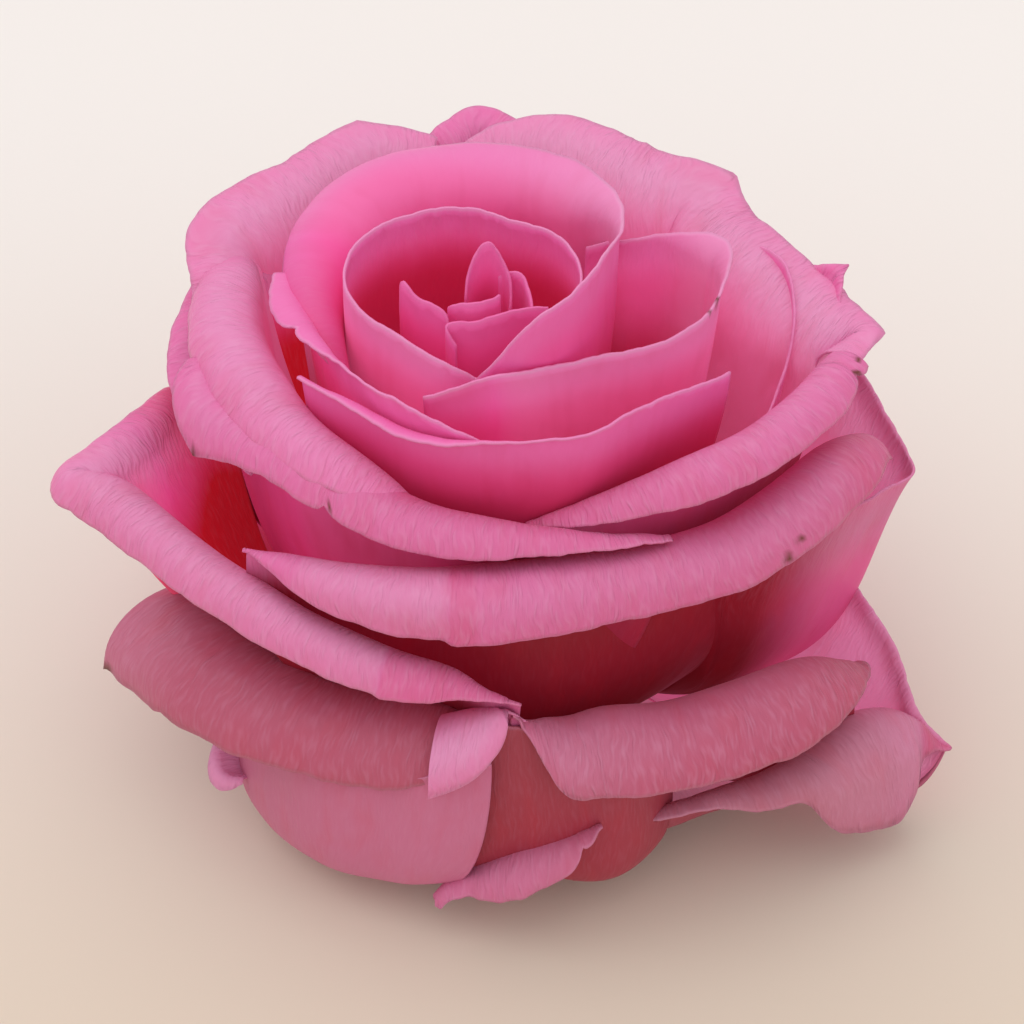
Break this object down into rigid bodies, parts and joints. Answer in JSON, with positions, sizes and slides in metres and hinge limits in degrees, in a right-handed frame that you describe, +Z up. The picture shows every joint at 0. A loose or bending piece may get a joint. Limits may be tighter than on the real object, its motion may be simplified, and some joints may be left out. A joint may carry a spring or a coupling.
{
  "type": "rose bloom",
  "caption": "Open pink garden rose head, its petals spiralling out from a tight heart to rolled outer rims, cut off below the green receptacle and resting on a table.",
  "frame": {"origin": "centre of the receptacle's flat cut face, which rests on the table", "axes": "+Z up along the flower's axis, -Y towards the side seen in the picture"},
  "size_m": [0.1046, 0.0915, 0.0761],
  "materials": {
    "petal_pink": "satin petal, softly translucent, with fine veins",
    "calyx_green": "matt green skin"
  },
  "bodies": {
    "root": {"bloom": "petal_pink", "calyx": "calyx_green"}
  },
  "joints": []
}
